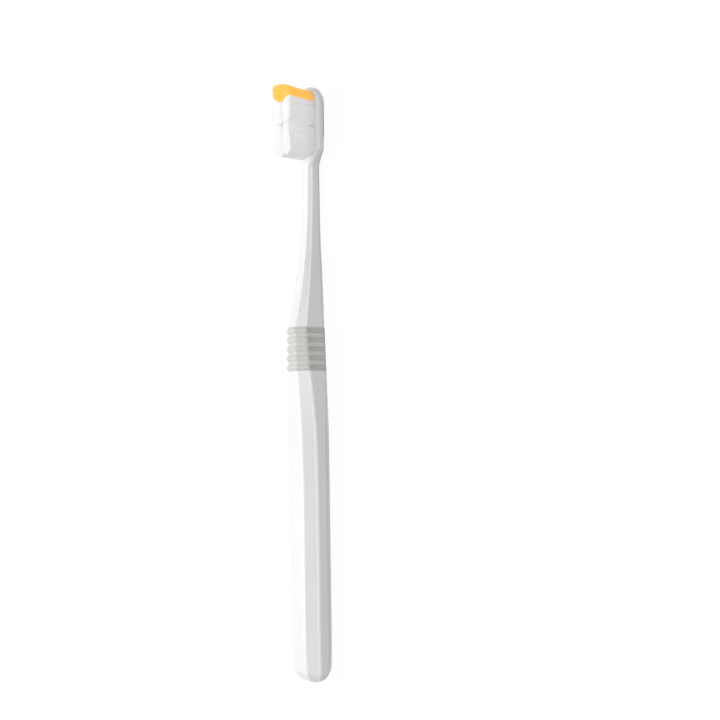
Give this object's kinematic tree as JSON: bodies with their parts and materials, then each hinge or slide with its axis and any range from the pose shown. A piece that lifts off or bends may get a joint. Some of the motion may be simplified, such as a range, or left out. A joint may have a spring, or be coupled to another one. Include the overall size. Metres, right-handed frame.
{
  "type": "toothbrush",
  "caption": "Manual toothbrush with a faceted handle, a ribbed soft grip sleeve, a slim neck and dense shaped bristle tufts with a coloured tuft at the tip.",
  "frame": {"origin": "middle of the bounding box at its base, on the face that the brush rests on", "axes": "+X along the handle to the tip of the head, +Z from the back of the brush to its bristle side, Y across the width"},
  "size_m": [0.18, 0.0124, 0.015],
  "materials": {
    "handle_plastic": "glossy white moulded plastic",
    "grip_rubber": "matte light grey soft-touch",
    "pad_rubber": "matte light grey soft-touch",
    "carrier_plastic": "white moulded plastic",
    "white_bristles": "fine white filaments",
    "orange_bristles": "fine orange filaments"
  },
  "bodies": {
    "root": {"body": "handle_plastic", "grip_sleeve": "grip_rubber", "back_pad": "pad_rubber", "carrier_plate": "carrier_plastic", "tip_tuft": "orange_bristles", "upper_left_tuft": "white_bristles", "upper_right_tuft": "white_bristles", "lower_left_tuft": "white_bristles", "lower_right_tuft": "white_bristles"}
  },
  "joints": []
}
